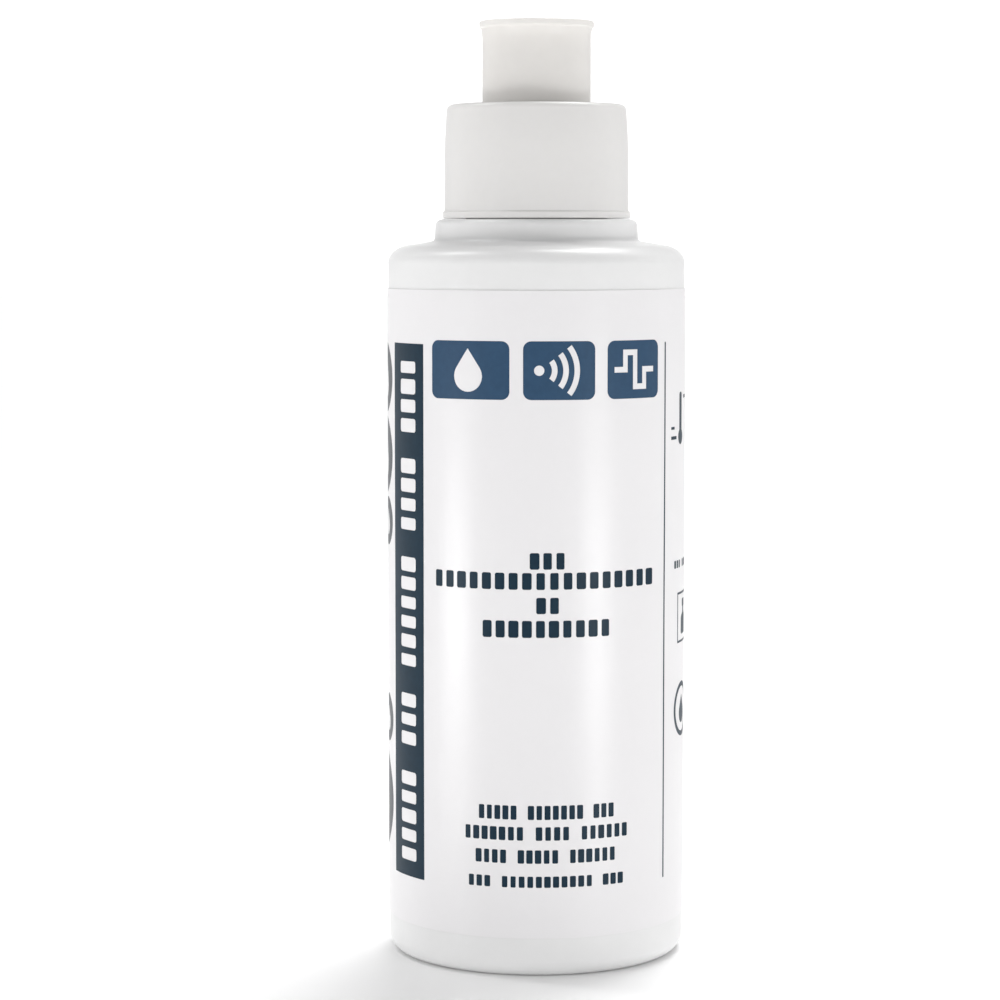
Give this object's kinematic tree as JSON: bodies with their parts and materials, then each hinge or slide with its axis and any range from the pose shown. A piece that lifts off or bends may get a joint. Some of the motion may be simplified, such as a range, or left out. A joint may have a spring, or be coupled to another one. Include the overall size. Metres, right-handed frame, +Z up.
{
  "type": "gel bottle",
  "caption": "Cylindrical squeeze bottle of contact gel for ultrasound and electrostimulation, with a screw cap and a push-pull dispensing spout.",
  "frame": {"origin": "centre of the base, on the plane that the bottle stands on", "axes": "+Z up along the bottle's axis, towards the spout; -Y out of the label's front; +X to the right seen from the front"},
  "size_m": [0.054, 0.054, 0.169],
  "materials": {
    "bottle_hdpe": "translucent white blow-moulded polyethylene, soft gloss",
    "label_film": "white printed film, satin, navy print",
    "label_ink": "dark navy print on the film, satin",
    "label_grey": "dark grey print on the film, satin",
    "gel": "clear water-based gel, glossy",
    "liner_foam": "white closed-cell foam, matt",
    "cap_pp": "white moulded polypropylene, smooth",
    "spout_pp": "natural-white moulded polyethylene, smooth"
  },
  "bodies": {
    "bottle": {"bottle": "bottle_hdpe", "wrap_label": "label_film", "gel_fill": "gel"},
    "liner": {"cap_liner": "liner_foam"},
    "cap": {"screw_cap": "cap_pp"},
    "spout": {"pull_spout": "spout_pp"}
  },
  "joints": [
    {"name": "cap_lift", "type": "slide", "parent": "bottle", "child": "liner", "axis": [0, 0, 1], "range_m": [0, 0.00635]},
    {"name": "cap_unscrew", "type": "hinge", "parent": "liner", "child": "cap", "pos_m": [0, 0, 0.1425], "axis": [0, 0, 1], "range_deg": [0, 540]},
    {"name": "spout_pull", "type": "slide", "parent": "cap", "child": "spout", "axis": [0, 0, 1], "range_m": [0, 0.006]}
  ],
  "couplings": [
    {"joint": "cap_lift", "follows": "cap_unscrew", "m_per_rad": 0.0006737}
  ]
}
